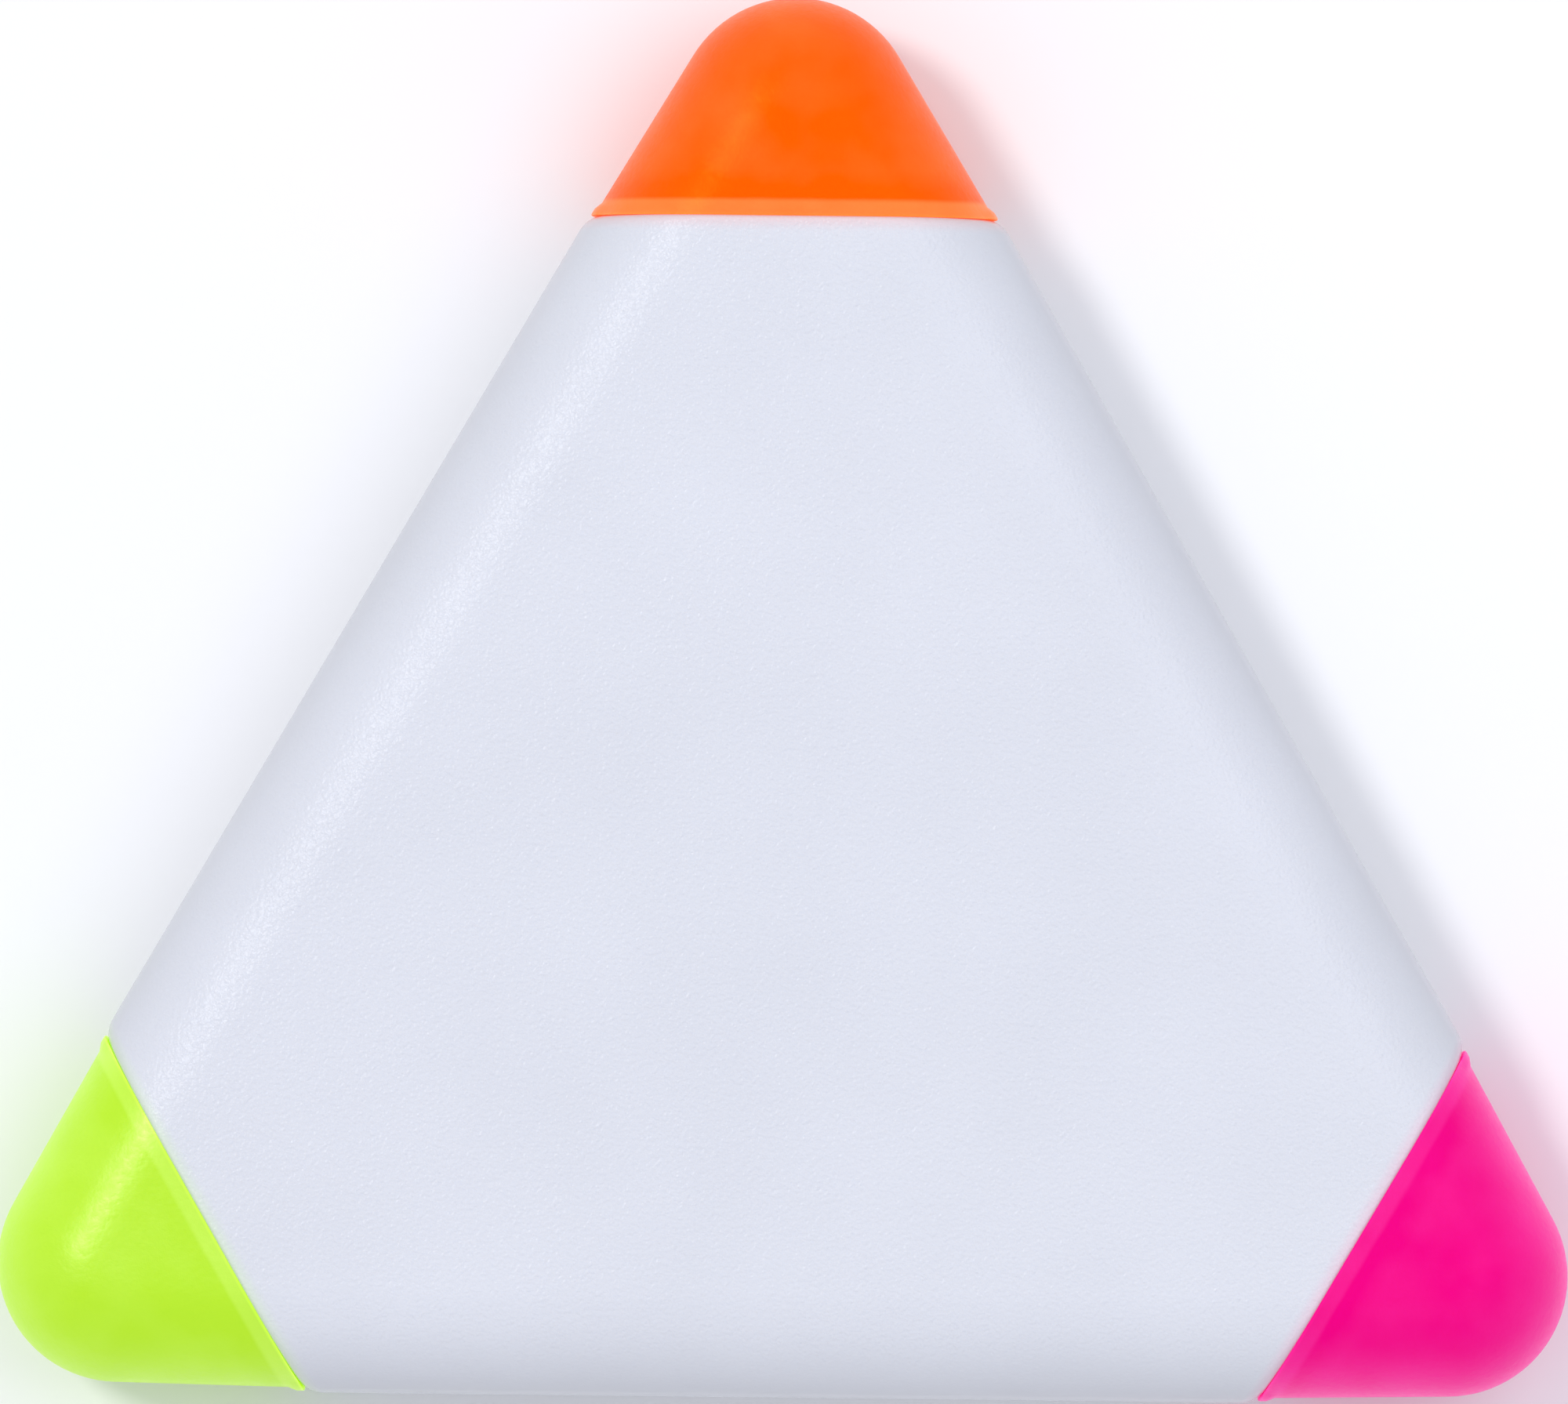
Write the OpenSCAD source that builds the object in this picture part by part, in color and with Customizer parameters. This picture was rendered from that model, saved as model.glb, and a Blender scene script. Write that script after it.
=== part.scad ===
// Flat triangular highlighter with three markers, one at each corner.
// Millimetres. The part lies flat: Z is its thickness, the origin is the centre of the
// triangle on the face that it rests on, and +Y points at the orange marker.

/* [Body] */
// Distance from the centre to each long side
body_inradius = 32; // [26.5:0.5:40]
// Width of each cut-off corner, where a cap sits
end_width = 25.8; // [21:0.2:31]
// Thickness over both shells
thickness = 16; // [13:0.5:20]
// Radius of the rolled long edges
edge_roll = 7; // [5:0.5:7.5]
// Wall of the two shells
shell_wall = 1.5; // [1.2:0.1:2]
// Depth of the fine groove along the parting line
parting_groove = 0.15; // [0.1:0.05:0.3]

/* [Caps] */
// How far a cap stands out from the end of the body
cap_length = 13.8; // [11.5:0.1:17]
// Radius of the cap's tip, seen from above
tip_round = 7.5; // [6.2:0.1:9]
// Wall of a cap
cap_wall = 1.2; // [1:0.1:1.5]
// How far the cap's surface lies below the body's
cap_step = 0.3; // [0.2:0.1:0.6]
// Gap between a cap's mouth and the end of the body
cap_gap = 0.05; // [0.05:0.05:0.3]
// How far the finger lips at the sides of a cap's mouth stand proud of the cap
lip_height = 0.2; // [0.1:0.05:0.3]
// Width of a lip, along the cap
lip_width = 0.6; // [0.4:0.1:1]
// Length of a lip, through the thickness
lip_length = 6; // [4:0.5:8]
// Wall of the sealing sleeve inside a cap
sleeve_wall = 0.9; // [0.7:0.1:1.2]

/* [Markers] */
// Radial gap between an ink tube and the shells
tube_clear = 0.8; // [0.6:0.1:1.2]
// Wall of an ink tube
tube_wall = 0.9; // [0.7:0.1:1.2]
// Width of the locating ring round a tube
ring_width = 1.2; // [0.8:0.1:2]
// Distance of that ring behind the front end of the tube's bore
ring_setback = 4.8; // [4:0.1:8]
// Length of the solid front of the barrel inside the body
barrel_front = 2; // [1.6:0.1:3]
// Height of the collar that stands out of the body inside a cap
collar_height = 1.4; // [1:0.1:2]
// Depth of the collar inside the shells
collar_depth = 1.6; // [1.2:0.1:2.4]
// Gap between the collar and the cap's wall, and between the ring and the shells
collar_fit = 0.12; // [0.08:0.01:0.2]
// How far the collar's inner part stays clear of the shells
collar_clear = 0.4; // [0.3:0.1:0.8]
// Length of the round snout
snout_length = 3; // [2.4:0.1:3.6]
// How much smaller than the tube the snout is, on the radius
snout_step = 1.2; // [1:0.1:1.5]
// Height of the sealing bead round the snout
seal_height = 0.15; // [0.1:0.01:0.25]
// Width of the sealing bead
seal_width = 0.8; // [0.5:0.1:1.2]
// Radial gap between the sealing bead and the cap's sleeve
seal_fit = 0.08; // [0.05:0.01:0.1]
// Length of the cone between the snout and the nib
cone_length = 1.4; // [1:0.1:1.8]
// Wall of the cone at the nib
cone_wall = 0.7; // [0.5:0.1:0.9]

/* [Ink] */
// Diameter of the nib
nib_d = 4.6; // [3.8:0.1:5]
// Gap between the nib's point and the inside of the cap
nib_gap = 2.8; // [2.2:0.1:3.4]
// Depth of the nib inside the ink reservoir
nib_socket = 3; // [2:0.1:4]
// Slope of the nib's cut end, from square
nib_slant = 30; // [20:1:40]
// Slope of the nib's two bevels, from its axis
nib_bevel = 30; // [15:1:45]
// Thickness of the nib's writing edge
nib_edge = 1; // [0.6:0.1:1.6]
// Radial gap between the wrapped reservoir and its tube
ink_clear = 0.12; // [0.1:0.01:0.2]
// Thickness of the film round the reservoir
film_thickness = 0.15; // [0.1:0.05:0.3]
// How far the film stops short of each end of the reservoir
film_margin = 0.5; // [0.2:0.1:1]
// Thickness of the tail plug's head
plug_head = 1.2; // [0.8:0.1:2]
// Length of the tail plug inside the tube
plug_depth = 1.8; // [1.2:0.1:3]

/* [Assembly] */
// Width of a shell's ribs
rib_thickness = 1.1; // [0.9:0.1:1.4]
// How far a rib reaches past the tube at each side
rib_reach = 2.5; // [1.5:0.1:3]
// Distance from the centre to the rib under a tube's tail
tail_rib = 14; // [12:0.5:16]
// Diameter of a joining pin between the shells
pin_d = 2.4; // [2:0.1:3]
// Wall of the socket round a joining pin
socket_wall = 1; // [0.8:0.1:1.2]
// Distance of a joining pin from the middle of its side
pin_offset = 13; // [10:0.5:15]
// Space left past the end of a pin, a sleeve and a reservoir
end_gap = 0.3; // [0.2:0.1:0.6]
// Radius of the post at the middle of each shell
post_r = 1.6; // [1.2:0.1:1.8]
// Height of the tongue on the lower shell's edge
tongue_height = 1; // [0.8:0.1:1.4]
// How far the tongue stops short of the body's ends
tongue_margin = 3; // [2:0.5:6]

/* [Hidden] */
$fn = 64;

small = 0.05;               // clearance of pieces that are pushed together
over = 1;                   // how far a cut runs past what it cuts
far = 4 * body_inradius;    // longer than the whole part
plain = "ghostwhite";
orange = "darkorange";
lime = "greenyellow";
pink = "deeppink";

// Body
mid = thickness / 2;
land = 0.5;                                     // least half-height of the flat edge
roll = min(edge_roll, mid - land);
seam = 2 * body_inradius - end_width / 2 / tan(30);
side_half = body_inradius * tan(60) - end_width;
cavity_half = mid - shell_wall;

// Cap: its sides run from the mouth to a tip circle that they touch
mouth = seam + cap_gap;
cap_tip = seam + cap_length;
tip_centre = cap_tip - tip_round;
cap_half = mid - cap_step;
cap_roll = min(roll - cap_step, tip_round - small);
mouth_half = end_width / 2 - cap_step / cos(30);
mouth_to_tip = norm([mouth_half, tip_centre - seam]);
flare = acos(tip_round / mouth_to_tip) - atan2(tip_centre - seam, mouth_half);

// Joining pins, and the room that they and the middle post leave for the tubes
pin_r = pin_d / 2;
socket_r = pin_r + small + socket_wall;
pin_line = body_inradius - roll - socket_r;
pin_rise = cavity_half - shell_wall;

// Radii of a marker
tube_r = cavity_half - tube_clear;
bore_r = tube_r - tube_wall;
ring_r = cavity_half - collar_fit;
snout_r = tube_r - snout_step;
nib_r = nib_d / 2;
cone_r = nib_r + cone_wall;
spigot_r = (nib_r + snout_r) / 2;               // midway between the nib and the snout
film_r = bore_r - ink_clear;
reservoir_r = film_r - film_thickness;
sleeve_bore = snout_r + seal_height + seal_fit;

// Distances from the centre along a marker's axis, from its tail to its point
tail_end = (tube_clear + pin_r + tube_r * cos(60)) / sin(60);
tube_tail = tail_end + plug_head;
reservoir_back = tube_tail + plug_depth + end_gap;
bore_end = seam - barrel_front;
ring_back = bore_end - ring_setback - ring_width;
collar_front = seam + collar_height;
snout_front = collar_front + snout_length;
seal_at = collar_front + snout_length / 2;
cone_front = snout_front + cone_length;
nib_tip = cap_tip - cap_wall - nib_gap;
sleeve_back = collar_front + end_gap;

// Section of a rolled edge: flat inside and round at its outer corners
module roll_profile(reach, half, r, back = 0) {
    translate([-back, -half]) square([reach - r + back, 2 * half]);
    translate([0, r - half]) square([reach, 2 * (half - r)]);
    for (s = [0, 1]) mirror([0, s]) translate([reach - r, half - r]) intersection() {
        circle(r);
        square(r);
    }
}

// A bar of that section, lying along Y with its outer edge towards +X
module roll_bar(reach, half, r, length, back = 0)
    rotate([90, 0, 0]) linear_extrude(length) roll_profile(reach, half, r, back);

// The body's solid form with its long sides only, drawn in by inset
module body_form(inset)
    translate([0, 0, mid]) intersection_for(i = [0 : 2])
        rotate([0, 0, 120 * i + 30]) translate([0, far, 0])
            roll_bar(body_inradius - inset, mid - inset, roll - inset, 2 * far, far);

// The triangular column whose sides cross the three marker axes at this distance
module within(reach) linear_extrude(thickness)
    polygon([for (i = [0 : 2]) 2 * reach * [cos(270 + 120 * i), sin(270 + 120 * i)]]);

// A stretch of a marker's axis, from one distance to another
module span(from, to) translate([-far, from, -over]) cube([2 * far, to - from, thickness + 2 * over]);

// One side of a cap's solid form, drawn in by inset, on the axis that points along +Y:
// a bar along the side and a sector round the tip
module cap_side(inset)
    translate([0, tip_centre, mid]) rotate([0, 0, flare]) {
        roll_bar(tip_round - inset, cap_half - inset, cap_roll - inset, far, far);
        rotate_extrude(angle = 90)
            roll_profile(tip_round - inset, cap_half - inset, cap_roll - inset);
    }

// Keeps what lies at +X and mirrors it to the other side
module both_sides() for (side = [0, 1]) mirror([side, 0, 0]) intersection() {
    children();
    translate([0, -far, -far]) cube(2 * far);
}

// A round bar or cone on the marker's axis, from one distance to another
module rod(from, to, r, r_to = 0)
    translate([0, from, mid]) rotate([-90, 0, 0])
        cylinder(h = to - from, r1 = r, r2 = r_to > 0 ? r_to : r);

// Turns +Y to one of the three marker axes
module at_corner(i) rotate([0, 0, 120 * i]) children();

// Turns +X to the outward direction of one of the three long sides
module at_side(i) rotate([0, 0, 120 * i - 90]) children();

// Two places along each long side
module pin_places() for (i = [0 : 2], s = [-1, 1])
    at_side(i) translate([pin_line, s * pin_offset, 0]) children();

// A rib across the axis, standing on the flat of a shell and hollowed for the tube
module rib(from) difference() {
    translate([-tube_r - rib_reach, from, shell_wall - small])
        cube([2 * (tube_r + rib_reach), rib_thickness, mid - shell_wall + small]);
    rod(from - over, from + rib_thickness + over, tube_r + small);
}

// A post that stands on the inside of a shell and ends at the parting plane
module post(r) translate([0, 0, shell_wall - small]) cylinder(h = mid - shell_wall + small, r = r);

// What the two shells share, as the lower one: the walls with half of the parting
// groove, the posts, and for each tube a rib near its tail and a pair that traps its ring
module half_shell() {
    difference() {
        intersection() {
            body_form(0);
            within(seam);
            translate([-far, -far, 0]) cube([2 * far, 2 * far, mid]);
        }
        body_form(shell_wall);
        for (i = [0 : 2]) at_side(i) translate([body_inradius, -far, mid]) rotate([-90, 0, 0])
            linear_extrude(2 * far) rotate(45) square(parting_groove * sqrt(2), center = true);
    }
    for (i = [0 : 2]) at_corner(i) {
        rib(tail_rib);
        rib(ring_back - rib_thickness - small);
        rib(ring_back + ring_width + small);
    }
    post(post_r);
    pin_places() post(socket_r);
}

// A strip along the inner edge of each long side, between two distances and two heights
module edge_strips(from, to, low, high, gap = 0)
    for (i = [0 : 2]) at_side(i) translate([from, tongue_margin - side_half - gap, low])
        cube([to - from, 2 * (side_half - tongue_margin + gap), high - low]);

// Lower half of the body, with the pins and the tongue
module bottom_shell() color(plain) {
    half_shell();
    pin_places() translate([0, 0, mid - small]) cylinder(h = pin_rise + small, r = pin_r);
    edge_strips(body_inradius - shell_wall, body_inradius - shell_wall / 2 - small,
        mid - small, mid + tongue_height);
}

// Upper half of the body, with the sockets and the rebate
module top_shell() color(plain) difference() {
    translate([0, 0, thickness]) mirror([0, 0, 1]) half_shell();
    pin_places() translate([0, 0, mid - over])
        cylinder(h = over + pin_rise + end_gap, r = pin_r + small);
    edge_strips(body_inradius - shell_wall - over, body_inradius - shell_wall / 2,
        mid - over, mid + tongue_height + small, small);
}

// A cap's wall, with a small lip at each side of the mouth
module cap_shell() difference() {
    union() {
        intersection() {
            cap_side(0);
            span(mouth, far);
        }
        intersection() {
            cap_side(-lip_height);
            translate([0, mouth, mid - lip_length / 2]) cube([far, lip_width, lip_length]);
        }
    }
    cap_side(cap_wall);
}

// The sleeve inside a cap that seals on the snout
module cap_sleeve() intersection() {
    difference() {
        rod(sleeve_back, cap_tip, sleeve_bore + sleeve_wall);
        rod(sleeve_back - over, cap_tip + over, sleeve_bore);
    }
    cap_side(cap_wall / 2);
}

module cap() both_sides() {
    cap_shell();
    cap_sleeve();
}

// The ink tube with its ring, and the collar that fills the end of the body
module barrel() difference() {
    union() {
        both_sides() intersection() {
            cap_side(cap_wall + collar_fit);
            span(seam, collar_front);
        }
        intersection() {
            body_form(shell_wall + collar_clear);
            span(seam - collar_depth, seam);
        }
        rod(tube_tail, seam, tube_r);
        rod(ring_back, ring_back + ring_width, ring_r);
    }
    rod(tube_tail - over, bore_end, bore_r);
    rod(bore_end - over, collar_front + over, spigot_r + small / 2);
}

// The nib's holder: a spigot pressed into the collar, the snout with its sealing bead,
// and the cone
module holder() difference() {
    union() {
        rod(bore_end, collar_front, spigot_r);
        rod(collar_front, snout_front, snout_r);
        rod(seal_at - seal_width / 2, seal_at, snout_r, snout_r + seal_height);
        rod(seal_at, seal_at + seal_width / 2, snout_r + seal_height, snout_r);
        rod(snout_front, cone_front, snout_r, cone_r);
    }
    rod(bore_end - over, cone_front + over, nib_r + small / 2);
}

// A round fibre rod with a slanting end, bevelled on both sides to a chisel edge
module nib() difference() {
    rod(bore_end - nib_socket, nib_tip, nib_r);
    translate([nib_r, nib_tip, mid]) rotate([0, 0, nib_slant])
        translate([-far, 0, -far]) cube(2 * far);
    for (s = [0, 1]) translate([0, nib_tip, mid]) mirror([0, 0, s])
        translate([0, 0, nib_edge / 2]) rotate([-nib_bevel, 0, 0])
            translate([-far, -far, 0]) cube(2 * far);
}

// The fibre rod that holds the ink, with a socket for the nib
module reservoir() difference() {
    rod(reservoir_back, bore_end - small, reservoir_r);
    rod(bore_end - nib_socket - small, bore_end + over, nib_r + small / 2);
}

// The film wrapped round the reservoir
module film() difference() {
    rod(reservoir_back + film_margin, bore_end - small - film_margin, film_r);
    rod(reservoir_back, bore_end, reservoir_r);
}

// The plug that closes the tail of an ink tube
module tail_plug() difference() {
    union() {
        rod(tail_end, tube_tail, tube_r);
        rod(tail_end, tube_tail + plug_depth, bore_r - small / 2);
    }
    rod(tube_tail, tube_tail + plug_depth + over, bore_r - tube_wall);
}

module cap_orange() color(orange) at_corner(0) cap();
module cap_lime() color(lime) at_corner(1) cap();
module cap_pink() color(pink) at_corner(2) cap();
module barrel_orange() color(plain) at_corner(0) barrel();
module barrel_lime() color(plain) at_corner(1) barrel();
module barrel_pink() color(plain) at_corner(2) barrel();
module holder_orange() color(plain) at_corner(0) holder();
module holder_lime() color(plain) at_corner(1) holder();
module holder_pink() color(plain) at_corner(2) holder();
module nib_orange() color(orange) at_corner(0) nib();
module nib_lime() color(lime) at_corner(1) nib();
module nib_pink() color(pink) at_corner(2) nib();
module reservoir_orange() color(orange) at_corner(0) reservoir();
module reservoir_lime() color(lime) at_corner(1) reservoir();
module reservoir_pink() color(pink) at_corner(2) reservoir();
module film_orange() color(plain) at_corner(0) film();
module film_lime() color(plain) at_corner(1) film();
module film_pink() color(plain) at_corner(2) film();
module tail_plug_orange() color(plain) at_corner(0) tail_plug();
module tail_plug_lime() color(plain) at_corner(1) tail_plug();
module tail_plug_pink() color(plain) at_corner(2) tail_plug();

top_shell();
bottom_shell();
cap_orange();
cap_lime();
cap_pink();
barrel_orange();
barrel_lime();
barrel_pink();
holder_orange();
holder_lime();
holder_pink();
nib_orange();
nib_lime();
nib_pink();
reservoir_orange();
reservoir_lime();
reservoir_pink();
film_orange();
film_lime();
film_pink();
tail_plug_orange();
tail_plug_lime();
tail_plug_pink();
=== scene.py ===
import math
import bpy
from mathutils import Matrix, Vector


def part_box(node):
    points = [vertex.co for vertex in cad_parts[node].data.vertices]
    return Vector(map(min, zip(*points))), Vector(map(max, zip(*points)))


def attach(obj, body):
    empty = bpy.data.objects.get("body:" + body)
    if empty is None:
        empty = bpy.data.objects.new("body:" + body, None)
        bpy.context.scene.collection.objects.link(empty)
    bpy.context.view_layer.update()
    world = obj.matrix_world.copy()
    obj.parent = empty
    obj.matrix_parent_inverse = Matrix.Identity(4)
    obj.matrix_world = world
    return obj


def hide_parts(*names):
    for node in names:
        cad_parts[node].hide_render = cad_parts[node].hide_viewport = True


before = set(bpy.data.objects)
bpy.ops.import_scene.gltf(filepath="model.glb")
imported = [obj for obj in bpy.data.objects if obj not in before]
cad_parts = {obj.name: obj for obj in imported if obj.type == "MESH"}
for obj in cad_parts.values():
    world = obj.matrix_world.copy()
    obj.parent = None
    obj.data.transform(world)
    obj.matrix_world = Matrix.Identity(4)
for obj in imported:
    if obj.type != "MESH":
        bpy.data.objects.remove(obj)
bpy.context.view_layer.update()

# ---------------------------------------------------------------- ink reservoirs
# A rod of acrylic fibre soaked with fluorescent ink lies in each tube. The fibres all run
# along the marker, so it looks like a tight, faintly streaked felt stick.
MM = 0.001
MARKERS = {"orange": 90, "lime": 210, "pink": 330}     # where each marker points, in degrees
INK = {"orange": "FF6408", "lime": "C2F52E", "pink": "FF1E90"}


def linear(code):
    """A colour's sRGB hex code as linear red, green, blue and alpha."""
    parts = [int(code[i:i + 2], 16) / 255 for i in (0, 2, 4)]
    return [c / 12.92 if c <= 0.04045 else ((c + 0.055) / 1.055) ** 2.4 for c in parts] + [1]


def add(tree, kind, links=None, **settings):
    """A node with its settings, its input values and its links."""
    node = tree.nodes.new(kind)
    for name, value in settings.items():
        setattr(node, name, value)
    for socket, value in (links or {}).items():
        if isinstance(value, bpy.types.NodeSocket):
            tree.links.new(value, node.inputs[socket])
        else:
            node.inputs[socket].default_value = value
    return node


def material(name):
    """An empty material: its node tree and its output node."""
    made = bpy.data.materials.new(name)
    made.use_nodes = True
    made.node_tree.nodes.clear()
    return made, made.node_tree, made.node_tree.nodes.new("ShaderNodeOutputMaterial")


def paint(obj, made):
    """Gives an object one material and no other."""
    obj.data.materials.clear()
    obj.data.materials.append(made)


WIDE_TO_LONG = 0.08            # a streak's width as a share of its length


def ink_fibre(name, code, angle, streak_mm):
    """Fibre soaked with ink: streaks along the marker, about as wide as a bundle of fibres."""
    made, tree, out = material(name)
    place = add(tree, "ShaderNodeTexCoord")
    turned = add(tree, "ShaderNodeMapping", {
        "Vector": place.outputs["Object"], "Rotation": (0, 0, -math.radians(angle))})
    stretched = add(tree, "ShaderNodeMapping", {
        "Vector": turned.outputs["Vector"], "Scale": (WIDE_TO_LONG, 1, 1)})
    streaks = add(tree, "ShaderNodeTexNoise", {
        "Vector": stretched.outputs["Vector"], "Scale": 1 / (streak_mm * MM), "Detail": 3})
    tone = add(tree, "ShaderNodeMapRange", {
        "Value": streaks.outputs["Fac"], "From Min": 0.3, "From Max": 0.7,
        "To Min": 0.72, "To Max": 1.08})
    colour = add(tree, "ShaderNodeVectorMath", {0: linear(code)[:3], "Scale": tone.outputs[0]},
                 operation="SCALE")
    grain = add(tree, "ShaderNodeBump", {
        "Height": streaks.outputs["Fac"], "Strength": 0.6, "Distance": 0.05 * MM})
    # A faint emission in the ink's colour is a painted glow.
    shader = add(tree, "ShaderNodeBsdfPrincipled", {
        "Base Color": colour.outputs[0], "Roughness": 0.85, "IOR": 1.5,
        "Sheen Weight": 0.25, "Sheen Roughness": 0.5, "Emission Color": linear(code),
        "Emission Strength": 0.08, "Normal": grain.outputs["Normal"]})
    tree.links.new(shader.outputs[0], out.inputs["Surface"])
    return made


RESERVOIR_STREAK = 0.25        # drawn about ten times as wide as a real fibre, so that it shows
for ink, angle in MARKERS.items():
    paint(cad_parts["reservoir_" + ink],
          ink_fibre("Acrylic fibre, %s ink" % ink, INK[ink], angle, RESERVOIR_STREAK))

# ---------------------------------------------------------------- films
# Clear polypropylene film is wrapped round each reservoir and holds its fibres together.
# It is glossy and slightly milky, with fine creases from the wrapping.
CREASE = 1.5                   # distance between creases
made, tree, out = material("Polypropylene film, clear")
place = add(tree, "ShaderNodeTexCoord")
creases = add(tree, "ShaderNodeTexNoise", {
    "Vector": place.outputs["Object"], "Scale": 1 / (CREASE * MM), "Detail": 2})
grain = add(tree, "ShaderNodeBump", {
    "Height": creases.outputs["Fac"], "Strength": 0.3, "Distance": 0.1 * MM})
gloss = add(tree, "ShaderNodeMapRange", {
    "Value": creases.outputs["Fac"], "To Min": 0.1, "To Max": 0.3})
shader = add(tree, "ShaderNodeBsdfPrincipled", {
    "Base Color": linear("F4F6F8"), "Roughness": gloss.outputs[0], "IOR": 1.49,
    "Alpha": 0.35, "Normal": grain.outputs["Normal"]})
tree.links.new(shader.outputs[0], out.inputs["Surface"])
for ink in MARKERS:
    paint(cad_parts["film_" + ink], made)

# ---------------------------------------------------------------- nibs
# Each nib is a round rod of bonded polyester fibre, soaked with ink. Its end is ground to
# a slanting chisel with a thin writing edge, and the grinding leaves its corners soft.
def extent(node):
    """A node's lowest and highest corners, in millimetres."""
    return [[c / MM for c in corner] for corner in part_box(node)]


MID = extent("top_shell")[1][2] / 2
NIB_LOW, NIB_HIGH = extent("nib_orange")
NIB_R = (NIB_HIGH[0] - NIB_LOW[0]) / 2
NIB_BACK, NIB_TIP = NIB_LOW[1], NIB_HIGH[1]
NIB_SLANT = math.tan(math.radians(30))                 # of the writing edge, across the nib
NIB_BEVEL = math.tan(math.radians(30))                 # of each ground face, from the axis
NIB_EDGE = 0.5                 # half the writing edge's thickness
NIB_GROUND = 4.6               # length of the ground end
NIB_SIDES = 48
NIB_STEPS = 16                 # rings over the ground end
NIB_ROD = (NIB_BACK, 40, 44)   # rings along the rod behind it
NIB_STREAK = 0.12              # the streaks of its fibre, finer than the reservoir's
CORNER = 8                     # the higher, the sharper the corner between bevel and round


def piece(name, points, faces, body, angle=0):
    """A mesh piece from points in millimetres, turned so that +Y points along the marker."""
    mesh = bpy.data.meshes.new(name)
    turn = Matrix.Rotation(math.radians(angle), 4, "Z") @ Matrix.Scale(MM, 4)
    mesh.from_pydata([turn @ Vector(p) for p in points], [], faces)
    mesh.validate()
    mesh.polygons.foreach_set("use_smooth", [True] * len(mesh.polygons))
    mesh.set_sharp_from_angle(angle=math.radians(38))
    mesh.update()
    obj = bpy.data.objects.new(name, mesh)
    bpy.context.collection.objects.link(obj)
    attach(obj, body)
    return obj


def skin(points, faces, rings, close_start=False, close_end=False):
    """Adds rings of points, each joined to the one before it, to a mesh."""
    start = len(points)
    count = len(rings[0])
    for ring in rings:
        points.extend(ring)
    for r in range(len(rings) - 1):
        a, b = start + r * count, start + (r + 1) * count
        for k in range(count):
            n = (k + 1) % count
            faces.append((a + k, a + n, b + n, b + k))
    if close_start:
        faces.append(tuple(start + k for k in reversed(range(count))))
    if close_end:
        faces.append(tuple(start + (len(rings) - 1) * count + k for k in range(count)))


def nib_ring(part, shrink=0.0):
    """The nib's outline at part of the way along its ground end, from 0 to 1. It shrinks by
    a distance across the nib, and by less along it, to round the rim."""
    ring = []
    for k in range(NIB_SIDES):
        turn = 2 * math.pi * k / NIB_SIDES
        x, z = (NIB_R - shrink) * math.cos(turn), (NIB_R - shrink) * math.sin(turn)
        end = NIB_TIP - shrink * 0.4 + NIB_SLANT * (x - NIB_R)
        y = NIB_TIP - NIB_GROUND + part * (end - NIB_TIP + NIB_GROUND)
        most = NIB_EDGE - shrink * 0.6 + (NIB_TIP - y) * NIB_BEVEL * 1.02
        z = z / (1 + abs(z / most) ** CORNER) ** (1 / CORNER)
        ring.append((x, y, MID + z))
    return ring


for ink, angle in MARKERS.items():
    points, faces = [], []
    rings = [[(NIB_R * math.cos(2 * math.pi * k / NIB_SIDES), y,
               MID + NIB_R * math.sin(2 * math.pi * k / NIB_SIDES))
              for k in range(NIB_SIDES)] for y in NIB_ROD]
    rings += [nib_ring(i / NIB_STEPS) for i in range(NIB_STEPS)]
    rings += [nib_ring(0.98, 0.02), nib_ring(1, 0.08), nib_ring(1.005, 0.2)]   # soft rim
    skin(points, faces, [list(reversed(r)) for r in rings], True, True)
    nib = piece("nib_%s_fibre" % ink, points, faces, "casing", angle - 90)
    paint(nib, ink_fibre("Bonded polyester fibre, %s ink" % ink, INK[ink], angle, NIB_STREAK))
    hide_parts("nib_" + ink)

# ---------------------------------------------------------------- barrels and tail plugs
# A barrel is one white polypropylene moulding: the ink tube, the ring that the shells
# trap, and the collar that fills the body's end. A plug in the same plastic closes its
# tail. The mould is polished, so both are smoother and glossier than the shells.
SEAM = extent("top_shell")[1][1]                       # where the body ends and a cap starts
TUBE_TAIL, COLLAR_FRONT = [corner[1] for corner in extent("barrel_orange")]
BORE_END = extent("holder_orange")[0][1]
TUBE_R = extent("tail_plug_orange")[1][0]
TUBE_WALL = 0.9
BORE_R = TUBE_R - TUBE_WALL
RING_R = 6.38                                          # the locating ring that the shells trap
RING_WIDTH = 1.2
RING_SETBACK = 4.8
RING_BACK = BORE_END - RING_SETBACK - RING_WIDTH
SPIGOT_R = 3.4                                         # the nib holder's, in the collar's hole
SPIGOT_GAP = 0.03
CAP_LOW, CAP_HIGH = extent("cap_orange")
CAP_HALF = (CAP_HIGH[2] - CAP_LOW[2]) / 2
CAP_ROLL = CAP_HALF - 1
TIP_ROUND = 7.5                                        # the cap's tip, seen from above
TIP_CENTRE = CAP_HIGH[1] - TIP_ROUND
FLARE = math.radians(31.076)                           # a cap's side, from its axis
COLLAR_INSET = 1.32                                    # from the cap's surface to the collar's
COLLAR_STEP = 0.35                                     # its part in the body is smaller still
COLLAR_DEPTH = 1.55                                    # and reaches this far in
COLLAR_EDGE = 0.4                                      # rounding of its front
EDGE_STEPS = 6
BREAK = 0.1                                            # small broken edges of the mouldings
AROUND = 96                                            # points round a ring


def cap_reach(height, inset):
    """How far the cap's side stands from its spine, at a height from the middle."""
    roll = CAP_ROLL - inset
    rise = abs(height) - (CAP_HALF - CAP_ROLL)
    core = TIP_ROUND - CAP_ROLL
    return core + (roll if rise <= 0 else math.sqrt(max(roll * roll - rise * rise, 0)))


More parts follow.
